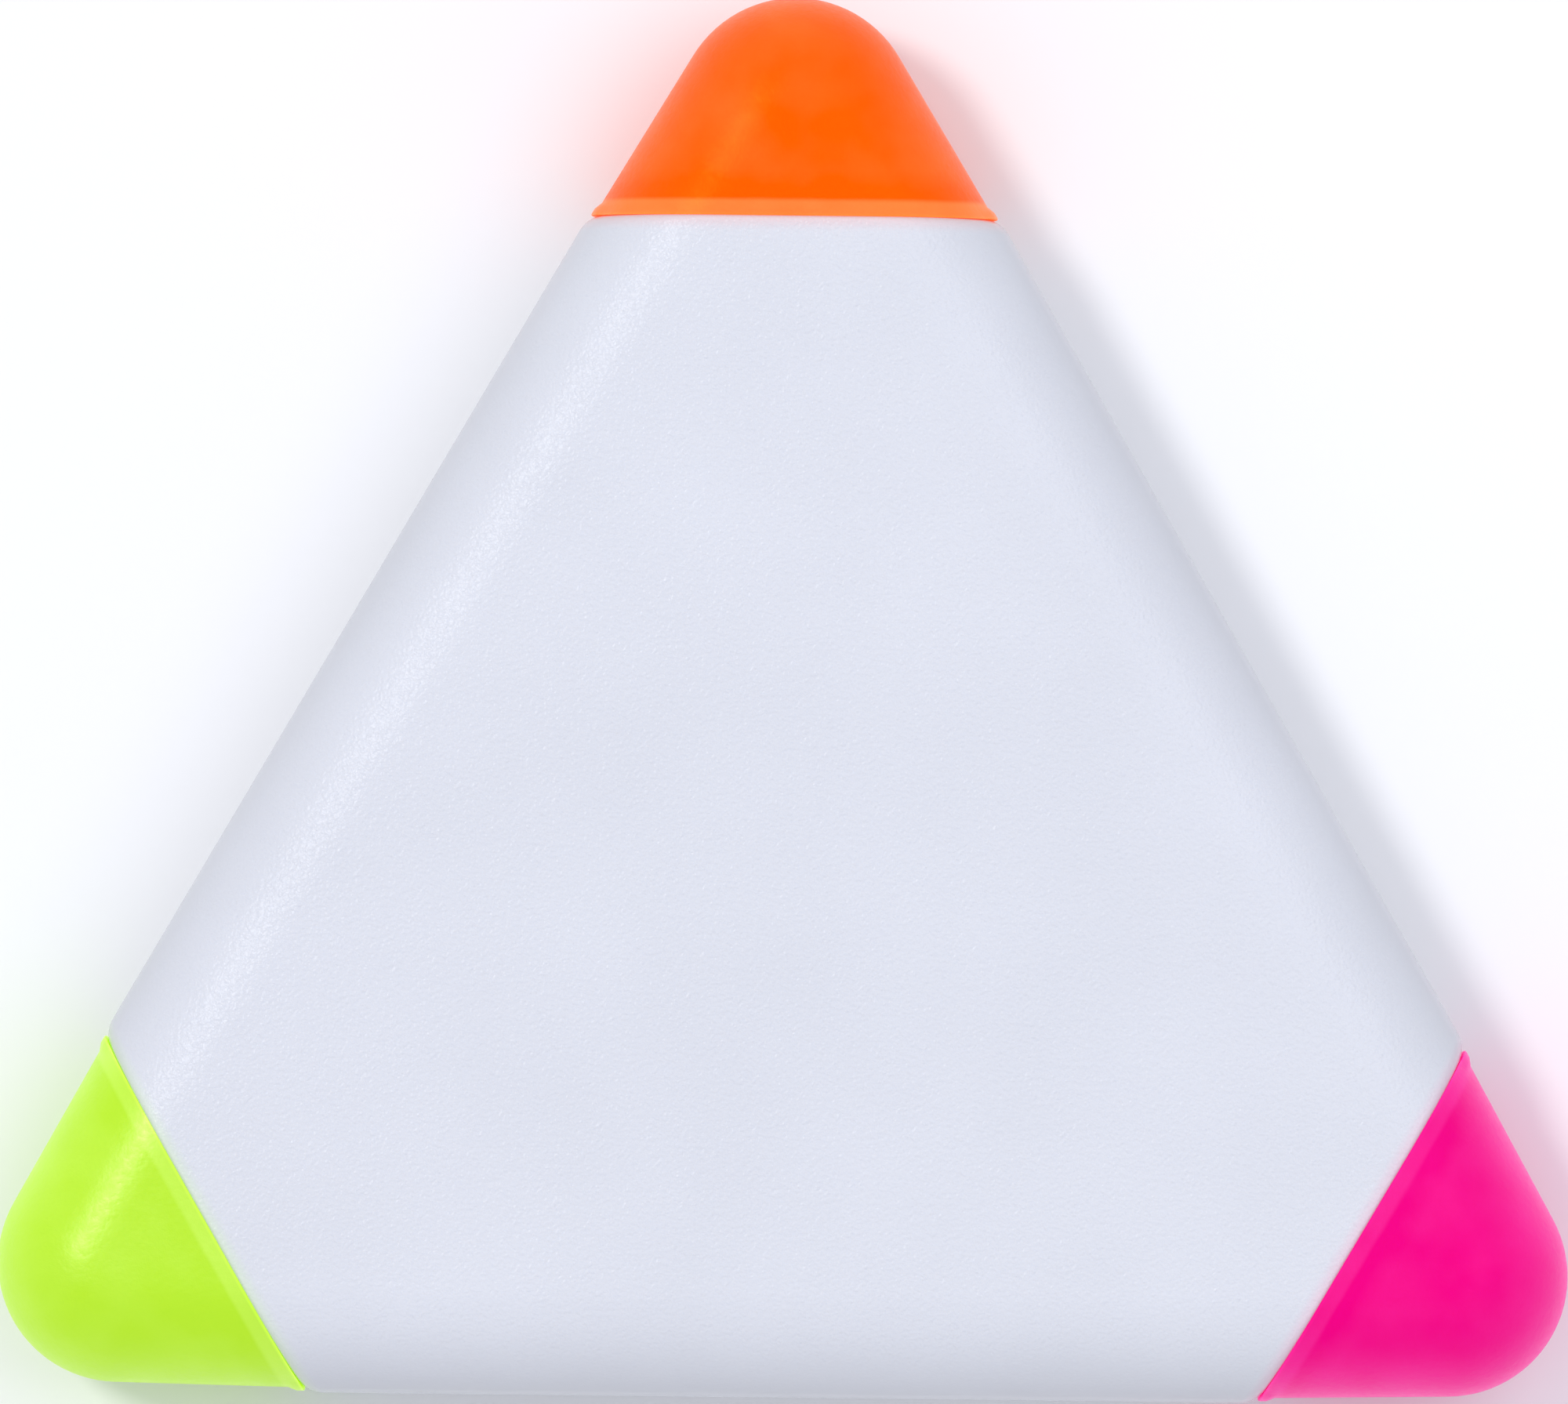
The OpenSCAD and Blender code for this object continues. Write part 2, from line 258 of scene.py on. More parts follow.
def collar_ring(y, inset):
    """The collar's outline across the marker, at a distance from the centre."""
    spread = (TIP_CENTRE - y) * math.tan(FLARE)
    ring = []
    for k in range(AROUND):
        turn = 2 * math.pi * (k + 0.5) / AROUND
        low, high = 0.0, 20.0                          # the outline lies between these
        for _ in range(30):                            # so many halvings find it exactly
            t = (low + high) / 2
            x, z = abs(t * math.cos(turn)), abs(t * math.sin(turn))
            inside = z < CAP_HALF - inset and x < cap_reach(z, inset) / math.cos(FLARE) + spread
            low, high = (t, high) if inside else (low, t)
        ring.append((low * math.cos(turn), y, MID + low * math.sin(turn)))
    return ring


def round_ring(y, r):
    """A circle round the marker's axis, at a distance from the centre."""
    return [(r * math.cos(2 * math.pi * (k + 0.5) / AROUND), y,
             MID + r * math.sin(2 * math.pi * (k + 0.5) / AROUND)) for k in range(AROUND)]


RESIN_CLOUD = 14               # size of the faint patches where the white is uneven
PAINTED_SPILL_WIDTH = 1                # how far a cap's painted coloured light reaches over the body


def moulded(name, code, roughness, gloss_level, grain_mm, depth_mm, soak, painted_edge_shade_share,
            painted_spill=0.0):
    """White moulded polypropylene: light sinks a little way in, and fine grain scatters it.
    Rolled edges are painted darker by a share (painted shade), and a share of each cap's colour is
    painted over the body's ends (painted coloured light)."""
    made, tree, out = material(name)
    place = add(tree, "ShaderNodeTexCoord")
    grain = add(tree, "ShaderNodeTexNoise", {
        "Vector": place.outputs["Object"], "Scale": 1 / (grain_mm * MM), "Detail": 1.5})
    cloud = add(tree, "ShaderNodeTexNoise", {
        "Vector": place.outputs["Object"], "Scale": 1 / (RESIN_CLOUD * MM), "Detail": 2})
    tone = add(tree, "ShaderNodeMapRange", {
        "Value": cloud.outputs["Fac"], "From Min": 0.25, "From Max": 0.75,
        "To Min": 0.975, "To Max": 1.015})
    surface = add(tree, "ShaderNodeNewGeometry")
    facing = add(tree, "ShaderNodeSeparateXYZ", {0: surface.outputs["Normal"]})
    tilt = add(tree, "ShaderNodeMath", {0: facing.outputs["Z"]}, operation="ABSOLUTE")
    painted_edge_shade = add(tree, "ShaderNodeMapRange", {          # painted shade: the colour is darker on steep rolled edges
        "Value": tilt.outputs[0], "From Min": 0.3, "From Max": 0.95, "To Min": 1 - painted_edge_shade_share})
    tone_and_painted_shade = add(tree, "ShaderNodeMath", {0: tone.outputs[0], 1: painted_edge_shade.outputs[0]},
                 operation="MULTIPLY")
    colour = add(tree, "ShaderNodeVectorMath", {0: linear(code)[:3], "Scale": tone_and_painted_shade.outputs[0]},
                 operation="SCALE")
    shade = colour.outputs[0]
    # Painted coloured light: each cap's colour is painted over the body's end near its seam.
    for ink, angle in MARKERS.items():
        turned = add(tree, "ShaderNodeMapping", {
            "Vector": place.outputs["Object"], "Rotation": (0, 0, -math.radians(angle))})
        along = add(tree, "ShaderNodeSeparateXYZ", {0: turned.outputs["Vector"]})
        painted_spill_mask = add(tree, "ShaderNodeMapRange", {
            "Value": along.outputs["X"], "From Min": (SEAM - PAINTED_SPILL_WIDTH) * MM,
            "From Max": SEAM * MM, "To Max": painted_spill}, interpolation_type="SMOOTHSTEP")
        shade = add(tree, "ShaderNodeMix", {"Factor": painted_spill_mask.outputs[0], 6: shade,
                                            7: linear(INK[ink])}, data_type="RGBA").outputs[2]
    draft = add(tree, "ShaderNodeMapRange", {         # a mould's steep walls are smoother
        "Value": tilt.outputs[0], "From Min": 0.4, "From Max": 0.95})
    bump = add(tree, "ShaderNodeBump", {
        "Height": grain.outputs["Fac"], "Strength": draft.outputs[0], "Distance": depth_mm * MM})
    shader = add(tree, "ShaderNodeBsdfPrincipled", {
        "Base Color": shade, "Roughness": roughness, "IOR": 1.49,
        "Specular IOR Level": gloss_level, "Subsurface Weight": soak,
        "Subsurface Radius": (1.0, 0.95, 0.9), "Subsurface Scale": 1.5 * MM,
        "Normal": bump.outputs["Normal"]})
    tree.links.new(shader.outputs[0], out.inputs["Surface"])
    return made


polished_white = moulded("Polypropylene, white, polished mould", "F4F5F8", roughness=0.3,
                         gloss_level=0.5, grain_mm=1.2, depth_mm=0.002, soak=0.2, painted_edge_shade_share=0)
for ink, angle in MARKERS.items():
    points, faces = [], []
    inner = collar_ring(SEAM - COLLAR_DEPTH, COLLAR_INSET + COLLAR_STEP)
    rings = [inner, collar_ring(SEAM - 0.05, COLLAR_INSET + COLLAR_STEP),
             collar_ring(SEAM, COLLAR_INSET)]
    for i in range(EDGE_STEPS + 1):
        turn = math.pi / 2 * i / EDGE_STEPS
        rings.append(collar_ring(COLLAR_FRONT - COLLAR_EDGE * (1 - math.sin(turn)),
                                 COLLAR_INSET + COLLAR_EDGE * (1 - math.cos(turn))))
    ring_front = RING_BACK + RING_WIDTH
    rings += [round_ring(y, r) for y, r in (
        (COLLAR_FRONT, SPIGOT_R + BREAK), (COLLAR_FRONT - BREAK, SPIGOT_R + SPIGOT_GAP),
        (BORE_END, SPIGOT_R + SPIGOT_GAP), (BORE_END, BORE_R), (TUBE_TAIL + BREAK, BORE_R),
        (TUBE_TAIL, BORE_R + BREAK), (TUBE_TAIL, TUBE_R - 0.15), (TUBE_TAIL + 0.15, TUBE_R),
        (RING_BACK, TUBE_R), (RING_BACK, RING_R - 0.08), (RING_BACK + 0.08, RING_R),
        (ring_front - 0.08, RING_R), (ring_front, RING_R - 0.08), (ring_front, TUBE_R),
        (SEAM - COLLAR_DEPTH, TUBE_R))]
    skin(points, faces, [list(reversed(r)) for r in rings + [inner]])
    barrel = piece("barrel_%s_moulding" % ink, points, faces, "casing", angle - 90)
    paint(barrel, polished_white)
    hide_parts("barrel_" + ink)
    paint(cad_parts["tail_plug_" + ink], polished_white)

# ---------------------------------------------------------------- nib holders
# A holder is pressed into the collar by its spigot and grips the nib. It is the same white
# polypropylene. The low bead round its snout seals the cap, so that the ink can't dry out.
SNOUT_R = 4.5
SEAL = 0.15                                            # height of the bead
SEAL_STEPS = 8
CONE_R = NIB_R + 0.7                                   # the cone's small end
CONE_LENGTH = 1.4
NIB_GAP = 0.03
HOLDER_FRONT = extent("holder_orange")[1][1]
SNOUT_FRONT = HOLDER_FRONT - CONE_LENGTH
SEAL_AT = (COLLAR_FRONT + SNOUT_FRONT) / 2
SEAT = COLLAR_FRONT + 0.01                             # the snout's shoulder, on the collar
for ink, angle in MARKERS.items():
    points, faces = [], []
    start = round_ring(BORE_END, NIB_R + 0.2)
    rings = [start] + [round_ring(y, r) for y, r in (
        (BORE_END, SPIGOT_R - 0.2), (BORE_END + 0.2, SPIGOT_R), (SEAT, SPIGOT_R),
        (SEAT, SNOUT_R - BREAK), (SEAT + BREAK, SNOUT_R))]
    for i in range(SEAL_STEPS + 1):                    # the bead is 0.8 mm wide
        swell = math.sin(math.pi * i / SEAL_STEPS) ** 2
        rings.append(round_ring(SEAL_AT + 0.1 * (i - SEAL_STEPS / 2), SNOUT_R + SEAL * swell))
    rings += [round_ring(y, r) for y, r in (
        (SNOUT_FRONT - 0.25, SNOUT_R), (SNOUT_FRONT - 0.07, SNOUT_R - 0.07),
        (SNOUT_FRONT, SNOUT_R - 0.25), (HOLDER_FRONT - 0.15, CONE_R + 0.18),
        (HOLDER_FRONT - 0.02, CONE_R + 0.02), (HOLDER_FRONT, CONE_R - 0.15),
        (HOLDER_FRONT, NIB_R + 0.15), (HOLDER_FRONT - BREAK, NIB_R + NIB_GAP),
        (BORE_END + 0.2, NIB_R + NIB_GAP))]
    skin(points, faces, [list(reversed(r)) for r in rings + [start]])
    holder = piece("holder_%s_moulding" % ink, points, faces, "casing", angle - 90)
    paint(holder, polished_white)
    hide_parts("holder_" + ink)

# ---------------------------------------------------------------- shells
# The body is two white polypropylene shells, snapped together along the middle of the
# rolled edge. Their mould is spark-eroded, which leaves a fine even frost with tiny glints.
INRADIUS = -extent("top_shell")[0][1]                  # from the centre to a long side
ROLL = MID - 1                 # radius of the rolled long edges
WALL = 1.5
END_SOFT_SIDE = 0.85           # rounding of the body's end at its sides
END_SOFT_TOP = 0.3             # and across its flat faces
SNUG = 0.04                    # how far the ends reach into the gap before each cap's mouth
GROOVE = 0.16                  # bevel of each shell along the parting line
ARC = 20                       # steps round a rolled edge
END_STEPS = 7                  # and round the edge of the body's end
END_BEVEL = 0.12               # of the inner edge of the ends
END_DEPTH = 2.5                # how far in the walls' inside is drawn at the ends
RIB_FIRST, RIB_WIDTH, RIB_SIDES = 14, 1.1, 24
RIB_SPREAD = 2.5               # how far a rib stands out at each side of its tube
RIB_CLEAR = 0.05               # between a rib and the tube or ring that it holds
RIB_AT = (RIB_FIRST, RING_BACK - RIB_CLEAR - RIB_WIDTH, RING_BACK + RING_WIDTH + RIB_CLEAR)
ROOT = 0.1                     # how far ribs and posts reach into the wall
POST_SIDES, POST_BREAK = 32, 0.15
STUD_R = 1.6                   # the post in the middle, where the two shells meet
SOCKET_R, SOCKET_BORE = 2.25, 1.25
PIN_R, PIN_REACH = 1.2, 5
PIN_PLACE = 13                 # from the middle of a long side to each of its two pins


def edge_profile(inset):
    """Section of a rolled edge, as (distance from the centre, height, normal angle)."""
    land = MID - ROLL
    inner = inset > 0
    steps = [(INRADIUS - inset - (0 if inner else GROOVE), 0.0, 0.0),
             (INRADIUS - inset, 0.0 if inner else GROOVE, 0.0)]
    for i in range(ARC + 1):
        turn = math.pi / 2 * i / ARC
        steps.append((INRADIUS - ROLL + (ROLL - inset) * math.cos(turn),
                      land + (ROLL - inset) * math.sin(turn), turn))
    return steps


def end_contour(corner, inset, back, drawn, soft=True):
    """The body's outline across a marker's axis, behind the seam and drawn in, from one
    parting line over to the other. Where it is soft, both are in shares of the rounding."""
    along = Vector((math.cos(corner), math.sin(corner), 0))
    across = Vector((-along.y, along.x, 0))
    right, left = [], []
    for w, h, turn in edge_profile(inset):
        size = END_SOFT_TOP + (END_SOFT_SIDE - END_SOFT_TOP) * math.cos(turn) ** 2 if soft else 1
        q = SEAM + SNUG - back * size
        n = Vector((math.cos(turn) * math.cos(math.pi / 6), math.sin(turn))).normalized()
        x = (2 * w - q) / math.sqrt(3) - drawn * size * n.x
        lifted = h > 0.001                             # the parting line stays in its plane
        z = Vector((0, 0, h - drawn * size * n.y * lifted))
        right.append(along * q - across * x + z)
        left.append(along * q + across * x + z)
    return right, left


def shell(half, up):
    """Half of the body: walls with soft edges, and the ribs and posts inside."""
    points, faces = [], []

    def put(vectors):
        """Adds points and says which numbers they got."""
        start = len(points)
        points.extend((v.x, v.y, MID + up * v.z) for v in vectors)
        return list(range(start, start + len(vectors)))

    def strip(a, b):
        """Joins two rows of points by faces."""
        for k in range(len(a) - 1):
            faces.append((a[k], a[k + 1], b[k + 1], b[k]))

    ends = []
    for corner in (math.radians(angle) for angle in MARKERS.values()):
        rows = []
        turns = [math.pi / 2 * i / END_STEPS for i in range(END_STEPS + 1)]
        stages = [(0, 1 - math.sin(t), 1 - math.cos(t), True) for t in turns]
        stages += [(WALL, 0, -END_BEVEL, False), (WALL, END_BEVEL, 0, False),
                   (WALL, END_DEPTH, 0, False)]
        for stage in stages:
            right, left = end_contour(corner, *stage)
            rows.append((put(right), put(left)))
        for (r0, l0), (r1, l1) in zip(rows, rows[1:]):
            strip(r0, r1)
            strip(l1, l0)
            faces.append((r0[-1], l0[-1], l1[-1], r1[-1]))
        ends.append(rows)
    for i in range(3):
        here, there = ends[i], ends[(i + 1) % 3]
        strip(there[0][0], here[0][1])
        strip(here[-1][1], there[-1][0])
        rim = [rows[1][0] for rows in here] + [rows[0][0] for rows in reversed(there)]
        faces.append(tuple(rim))
    faces.append(tuple(v for rows in ends for v in (rows[0][0][-1], rows[0][1][-1])))
    faces.append(tuple(reversed([v for rows in ends for v in (rows[-1][0][-1], rows[-1][1][-1])])))

    def inside(shape):
        """Adds a rib or post, which reaches a little into the wall that it stands on."""
        own_points, own_faces = shape
        start = len(points)
        points.extend((x, y, MID + up * z) for x, y, z in own_points)
        faces.extend(tuple(start + v for v in face) for face in own_faces)

    def post(x, y, r, top, bore=0.0):
        """A round post from the wall to a height, with a bore if it is a socket."""
        def ring(rad, z):
            turns = [2 * math.pi * k / POST_SIDES for k in range(POST_SIDES)]
            return [(x + rad * math.cos(t), y + rad * math.sin(t), z) for t in turns]

        p, f = [], []
        rings = [ring(r, MID - WALL + ROOT), ring(r, top + POST_BREAK), ring(r - POST_BREAK, top)]
        if bore:
            rings += [ring(bore, top), ring(bore, MID - WALL)]
        skin(p, f, rings, close_start=True, close_end=True)
        return p, f

    def rib(angle, start_y):
        """A rib across a marker, with a half-round seat for its tube."""
        reach, seat = TUBE_R + RIB_SPREAD, TUBE_R + RIB_CLEAR
        turns = [math.pi * k / RIB_SIDES for k in range(RIB_SIDES + 1)]
        edge = [(-reach, 0.0)]
        edge += [(-seat * math.cos(t), seat * math.sin(t)) for t in turns]
        edge += [(reach, 0.0)]
        turn = Matrix.Rotation(math.radians(angle - 90), 3, "Z")
        end_y, foot = start_y + RIB_WIDTH, MID - WALL + ROOT
        rings = []
        for x, z in edge:
            rings.append([tuple(turn @ Vector((x, y, h))) for y, h in
                          ((start_y, z), (end_y, z), (end_y, foot), (start_y, foot))])
        p, f = [], []
        skin(p, f, rings, True, True)
        return p, f

    inside(post(0, 0, STUD_R, 0))
    for side in (30, 150, 270):                        # a long side faces each of these ways
        for s in (-1, 1):
            turn = Matrix.Rotation(math.radians(side), 3, "Z")
            x, y, _ = turn @ Vector((INRADIUS - ROLL - SOCKET_R, s * PIN_PLACE, 0))
            inside(post(x, y, SOCKET_R, 0, bore=0 if up < 0 else SOCKET_BORE))
            if up < 0:
                inside(post(x, y, PIN_R, -PIN_REACH))
    for angle in MARKERS.values():
        for start_y in RIB_AT:
            inside(rib(angle, start_y))
    if up > 0:
        faces[:] = [tuple(reversed(f)) for f in faces]
    obj = piece(half + "_moulding", points, faces, "casing")
    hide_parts(half)
    return obj


# The frost's grain is about as wide as the real one, but drawn deeper, so that it glints.
# Each cap's colour is painted a little way over its ends, as painted coloured light.
# Its rolled edges are painted darker, as painted shade.
frosted_white = moulded("Polypropylene, white, spark-eroded mould", "DFE1E7", roughness=0.27,
                        gloss_level=0.25, grain_mm=0.24, depth_mm=0.08, soak=0.4,
                        painted_edge_shade_share=0.17, painted_spill=0.16)
for half, up in (("top_shell", 1), ("bottom_shell", -1)):
    paint(shell(half, up), frosted_white)

# ---------------------------------------------------------------- caps
# Each cap is a thin moulding in translucent polypropylene with a fluorescent dye. It has a
# lip for the finger at each side of its mouth, and a sleeve inside that seals on the snout.
# The dye's glow is painted as emission, so the cap looks brighter than a plain colour, and it is
# painted paler over the collar.
CAP_WALL = 1.2
MOUTH = CAP_LOW[1]
LIP = 0.2                      # how far a lip stands out of the cap's side
LIP_WIDTH = 0.6
LIP_HALF = 3.0                 # half its length, through the thickness
LIP_FADE = 0.8                 # over which its two ends die out
SLEEVE_BORE = 4.73
SLEEVE_R = 5.63
SLEEVE_SIDES = 64
SLEEVE_START = COLLAR_FRONT + 0.3
SLEEVE_ROOT = 0.3              # how far the sleeve reaches into the cap's tip
CAP_ARC, TIP_STEPS = 18, 28    # steps over the cap's rolled edge, and round its tip
DYE_CLOUD = 5                  # size of the patches where the dye lies thicker
CAP_GRAIN, CAP_GRAIN_DEPTH = 0.4, 0.05                 # orange peel, drawn deeper than it is
PAINTED_GLOW = 0.1                     # painted glow of the dye, all over the cap
CAP_TINT = {     # deep, pale, the gloss's colour and strength, painted paleness of the rim and over the collar
    "orange": ("FF5A00", "FFA058", "FFA028", 0.45, 0.0, 0.46),
    "lime": ("B2E400", "DAFF78", "FFFFD0", 1.0, 0.1, 0.2),
    "pink": ("EA007E", "FF50B8", "FF48B4", 0.45, 0.55, 0.1)}


def cap_rows(inset, lift=None):
    """Rows over a cap's surface, from the flat top round the edge to the flat underside;
    each runs from the mouth along one side, round the tip and back along the other."""
    rows = []
    land, roll = CAP_HALF - CAP_ROLL, CAP_ROLL - inset
    core = TIP_ROUND - CAP_ROLL
    turns = [math.pi / 2 * (1 - i / CAP_ARC) for i in range(CAP_ARC + 1)]
    section = [(core + roll * math.cos(t), land + roll * math.sin(t), t) for t in turns]
    section += [(x, -z, -t) for x, z, t in reversed(section)]
    stations = lift or [(MOUTH, 0.0), (MOUTH + 2.4, 0.0)]
    for x, z, t in section:
        row = []
        fade = min(max((LIP_HALF + LIP_FADE / 2 - abs(z)) / LIP_FADE, 0), 1)
        for y, out in stations:
            out = out * fade
            far = (x + out * math.cos(t)) / math.cos(FLARE) + (TIP_CENTRE - y) * math.tan(FLARE)
            row.append((far, y, MID + z + out * math.sin(t)))
        first = math.pi / 2 - FLARE
        for i in range(TIP_STEPS + 1):
            a = FLARE + 2 * first * i / TIP_STEPS
            row.append((x * math.cos(a), TIP_CENTRE + x * math.sin(a), MID + z))
        row += [(-px, py, pz) for px, py, pz in reversed(row[:len(stations)])]
        rows.append(row)
    return rows


def cap_sheet(points, faces, rows, flip):
    """The surface over those rows, with flat strips closing its top and underside."""
    count = len(rows[0])
    start = len(points)
    for row in rows:
        points.extend(row)
    made = []
    for r in range(len(rows) - 1):
        for k in range(count - 1):
            a = start + r * count + k
            made.append((a, a + count, a + count + 1, a + 1))
    for r, down in ((0, False), (len(rows) - 1, True)):
        base = start + r * count
        for k in range(count // 2):
            quad = (base + k, base + k + 1, base + count - 2 - k, base + count - 1 - k)
            quad = tuple(dict.fromkeys(quad))
            if len(quad) > 2:
                made.append(tuple(reversed(quad)) if down else quad)
    faces.extend(tuple(reversed(f)) for f in made) if flip else faces.extend(made)
    mouth = [start + r * count for r in range(len(rows))]
    mouth += [start + r * count + count - 1 for r in reversed(range(len(rows)))]
    return mouth


def sleeve_end(x, z):
    """Where a line along the marker meets the inside of the cap's tip."""
    reach = cap_reach(z, CAP_WALL)
    across = abs(x)
    if across < reach * math.cos(FLARE):
        return TIP_CENTRE + math.sqrt(reach * reach - across * across)
    return TIP_CENTRE + (reach - across * math.cos(FLARE)) / math.sin(FLARE)


def sleeve_ring(r, y=None):
    """A circle of the sleeve at a distance from the centre, or where it meets the tip."""
    ring = []
    for k in range(SLEEVE_SIDES):
        turn = 2 * math.pi * k / SLEEVE_SIDES
        x, z = r * math.cos(turn), r * math.sin(turn)
        ring.append((x, sleeve_end(x, z) + SLEEVE_ROOT if y is None else y, MID + z))
    return ring


def dyed(name, angle, deep, pale, shine, gloss_level, rim, painted_collar_share):
    """Fluorescent translucent polypropylene, painted paler over the collar and at rolled edges
    (painted light).
    A painted glow lies on the upper rolled edges, and most of all round the mouth."""
    made, tree, out = material(name)
    place = add(tree, "ShaderNodeTexCoord")
    turned = add(tree, "ShaderNodeMapping", {
        "Vector": place.outputs["Object"], "Rotation": (0, 0, -math.radians(angle))})
    along = add(tree, "ShaderNodeSeparateXYZ", {0: turned.outputs["Vector"]})
    # Painted light and shade: paler over the collar, as if it showed through the wall, then a
    # painted shade line just past the collar's front, which fades out over the next 1.4 mm.
    painted_collar_band = add(tree, "ShaderNodeMapRange", {
        "Value": along.outputs["X"], "From Min": (COLLAR_FRONT - 0.6) * MM,
        "From Max": (COLLAR_FRONT - 0.1) * MM, "To Min": painted_collar_share, "To Max": -0.1},
        interpolation_type="SMOOTHERSTEP")
    painted_shade_fade = add(tree, "ShaderNodeMapRange", {
        "Value": along.outputs["X"], "From Min": (COLLAR_FRONT + 0.1) * MM,
        "From Max": (COLLAR_FRONT + 1.5) * MM, "To Min": 0.0, "To Max": 0.1})
    # Painted glow round the mouth, strongest at its end face.
    mouth = add(tree, "ShaderNodeMapRange", {
        "Value": along.outputs["X"], "From Min": (MOUTH + 0.01) * MM,
        "From Max": (MOUTH + 0.2) * MM, "To Min": 0.4, "To Max": 0.0})
    surface = add(tree, "ShaderNodeNewGeometry")
    facing = add(tree, "ShaderNodeSeparateXYZ", {0: surface.outputs["Normal"]})
    tilt = add(tree, "ShaderNodeMath", {0: facing.outputs["Z"]}, operation="ABSOLUTE")
    # Steep sides: painted paler and given a painted glow.
    edge = add(tree, "ShaderNodeMapRange", {
        "Value": tilt.outputs[0], "From Min": 0.1, "From Max": 0.95, "To Min": 1.0, "To Max": 0.0})
    painted_glow_upper = add(tree, "ShaderNodeMapRange", {
        "Value": facing.outputs["Z"], "From Min": -0.1, "From Max": 0.2,
        "To Min": 0.0, "To Max": 0.15})
    painted_pale_rim = add(tree, "ShaderNodeMath", {0: edge.outputs[0], 1: rim}, operation="MULTIPLY")
    painted_rim_glow = add(tree, "ShaderNodeMath", {0: edge.outputs[0], 1: painted_glow_upper.outputs[0], 2: PAINTED_GLOW},
                 operation="MULTIPLY_ADD")
    painted_glow = add(tree, "ShaderNodeMath", {0: painted_rim_glow.outputs[0], 1: mouth.outputs[0]}, operation="ADD")
    flow = add(tree, "ShaderNodeTexNoise", {
        "Vector": place.outputs["Object"], "Scale": 1 / (DYE_CLOUD * MM), "Detail": 2})
    cloud = add(tree, "ShaderNodeMapRange", {
        "Value": flow.outputs["Fac"], "From Min": 0.35, "From Max": 0.75,
        "To Min": 0.0, "To Max": 0.16})
    paleness_and_painted_light = painted_collar_band.outputs[0]
    for more in (painted_shade_fade, painted_pale_rim, cloud):
        paleness_and_painted_light = add(tree, "ShaderNodeMath", {0: paleness_and_painted_light, 1: more.outputs[0]},
                       operation="ADD").outputs[0]
    colour = add(tree, "ShaderNodeMix", {
        "Factor": paleness_and_painted_light, 6: linear(deep), 7: linear(pale)}, data_type="RGBA")
    grain = add(tree, "ShaderNodeTexNoise", {
        "Vector": place.outputs["Object"], "Scale": 1 / (CAP_GRAIN * MM), "Detail": 3,
        "Roughness": 0.6})
    gloss = add(tree, "ShaderNodeMapRange", {
        "Value": grain.outputs["Fac"], "From Min": 0.3, "From Max": 0.7,
        "To Min": 0.34, "To Max": 0.44})
    bump = add(tree, "ShaderNodeBump", {
        "Height": grain.outputs["Fac"], "Strength": 0.5, "Distance": CAP_GRAIN_DEPTH * MM})
    shader = add(tree, "ShaderNodeBsdfPrincipled", {
        "Base Color": colour.outputs[2], "Roughness": gloss.outputs[0], "IOR": 1.49,
        "Specular IOR Level": gloss_level, "Specular Tint": linear(shine), "Subsurface Weight": 0.3,
        "Subsurface Radius": (1.0, 1.0, 1.0), "Subsurface Scale": 1.0 * MM,
        "Emission Color": linear(deep), "Emission Strength": painted_glow.outputs[0],
        "Normal": bump.outputs["Normal"]})
    tree.links.new(shader.outputs[0], out.inputs["Surface"])
    return made


for ink, angle in MARKERS.items():
    points, faces = [], []
    # The lip's section, as (distance from the centre, height above the cap's side).
    lip = [(MOUTH, LIP - 0.12), (MOUTH + 0.04, LIP - 0.03), (MOUTH + 0.14, LIP),
           (MOUTH + LIP_WIDTH - 0.16, LIP), (MOUTH + LIP_WIDTH, LIP - 0.08),
           (MOUTH + LIP_WIDTH + 0.2, 0.0), (MOUTH + LIP_WIDTH + 1.2, 0.0)]
    outer = cap_sheet(points, faces, cap_rows(0, lip), False)
    inner = cap_sheet(points, faces, cap_rows(CAP_WALL), True)
    for k in range(len(outer)):
        n = (k + 1) % len(outer)
        faces.append((outer[k], outer[n], inner[n], inner[k]))
    rings = [sleeve_ring(r, y) for r, y in (
        (SLEEVE_R, None), (SLEEVE_R, SLEEVE_START + BREAK), (SLEEVE_R - BREAK, SLEEVE_START),
        (SLEEVE_BORE + 0.2, SLEEVE_START), (SLEEVE_BORE, SLEEVE_START + 0.2), (SLEEVE_BORE, None))]
    rings.append(rings[0])
    skin(points, faces, rings)
    cap = piece("cap_%s_moulding" % ink, points, faces, "cap_" + ink, angle - 90)
    paint(cap, dyed("Polypropylene, fluorescent %s, translucent" % ink, angle, *CAP_TINT[ink]))
    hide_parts("cap_" + ink)

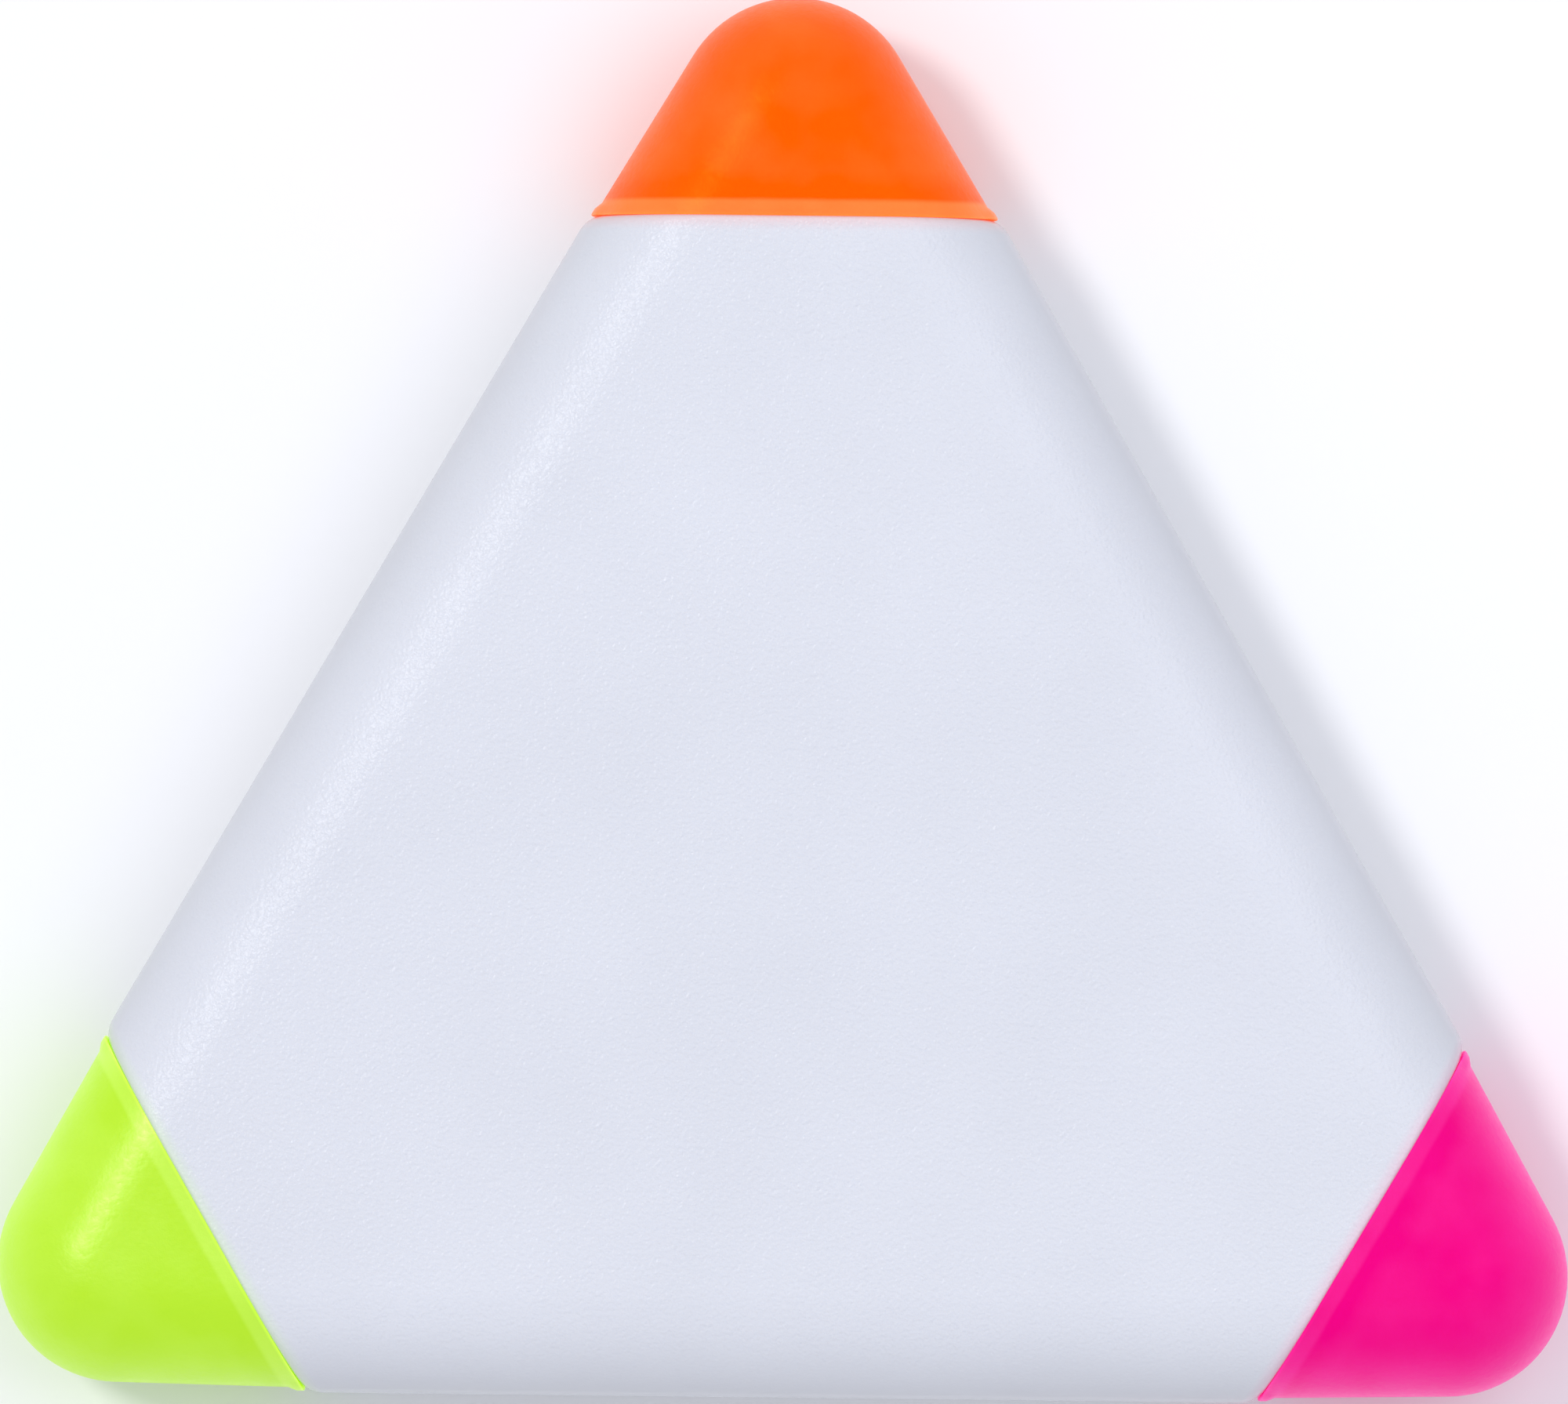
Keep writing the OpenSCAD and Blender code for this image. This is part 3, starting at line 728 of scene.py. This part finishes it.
# ---------------------------------------------------------------- floor, light and camera
# A plain white floor, a large soft light from the upper left, and a weaker one from above
# the right-hand side; the camera looks straight down from 1.2 metres through a long lens.
FLOOR = 2                                              # half its width, in metres
made, tree, out = material("Floor, plain white")
shader = add(tree, "ShaderNodeBsdfPrincipled", {"Base Color": linear("FAFAFA"), "Roughness": 0.9})
tree.links.new(shader.outputs[0], out.inputs["Surface"])
mesh = bpy.data.meshes.new("floor")
mesh.from_pydata([(-FLOOR, -FLOOR, 0), (FLOOR, -FLOOR, 0), (FLOOR, FLOOR, 0), (-FLOOR, FLOOR, 0)],
                 [], [(0, 1, 2, 3)])
floor = bpy.data.objects.new("floor", mesh)
bpy.context.collection.objects.link(floor)
paint(floor, made)


def soft_light(name, place, size, power, colour):
    """A round lamp that faces the pen: its place and width in metres, its power in watts."""
    light = bpy.data.lights.new(name, "AREA")
    light.shape = "DISK"
    light.size = size
    light.energy = power
    light.color = linear(colour)[:3]
    obj = bpy.data.objects.new(name, light)
    obj.location = place
    obj.rotation_euler = (-Vector(place)).to_track_quat("-Z", "Y").to_euler()
    bpy.context.collection.objects.link(obj)


LAMP_WIDTH = 0.4
soft_light("key", (-0.82, 0.48, 1.65), LAMP_WIDTH, 11.0, "FFFFFF")
soft_light("fill", (0.25, 0.1, 0.5), LAMP_WIDTH, 0.65, "F2F4FF")
world = bpy.data.worlds.new("studio")                  # the white room, from every side
bpy.context.scene.world = world
world.use_nodes = True
world.node_tree.nodes["Background"].inputs["Color"].default_value = linear("F4F6FF")
world.node_tree.nodes["Background"].inputs["Strength"].default_value = 0.7
bpy.context.scene.view_settings.view_transform = "Standard"

CAMERA_UP = 1.2                                        # in metres
CAMERA_AT = (-0.32 * MM, 11.46 * MM, CAMERA_UP)        # near the middle of the pen's outline
CAMERA_ROLL = math.radians(0.64)                       # the pen lies very slightly askew
lens = bpy.data.cameras.new("camera")
lens.sensor_width = 36
lens.lens = 437.7                                      # the pen nearly fills the frame
lens.clip_start = 0.01
camera = bpy.data.objects.new("camera", lens)
camera.location = CAMERA_AT
camera.rotation_euler = (0, 0, CAMERA_ROLL)
bpy.context.collection.objects.link(camera)
bpy.context.scene.camera = camera
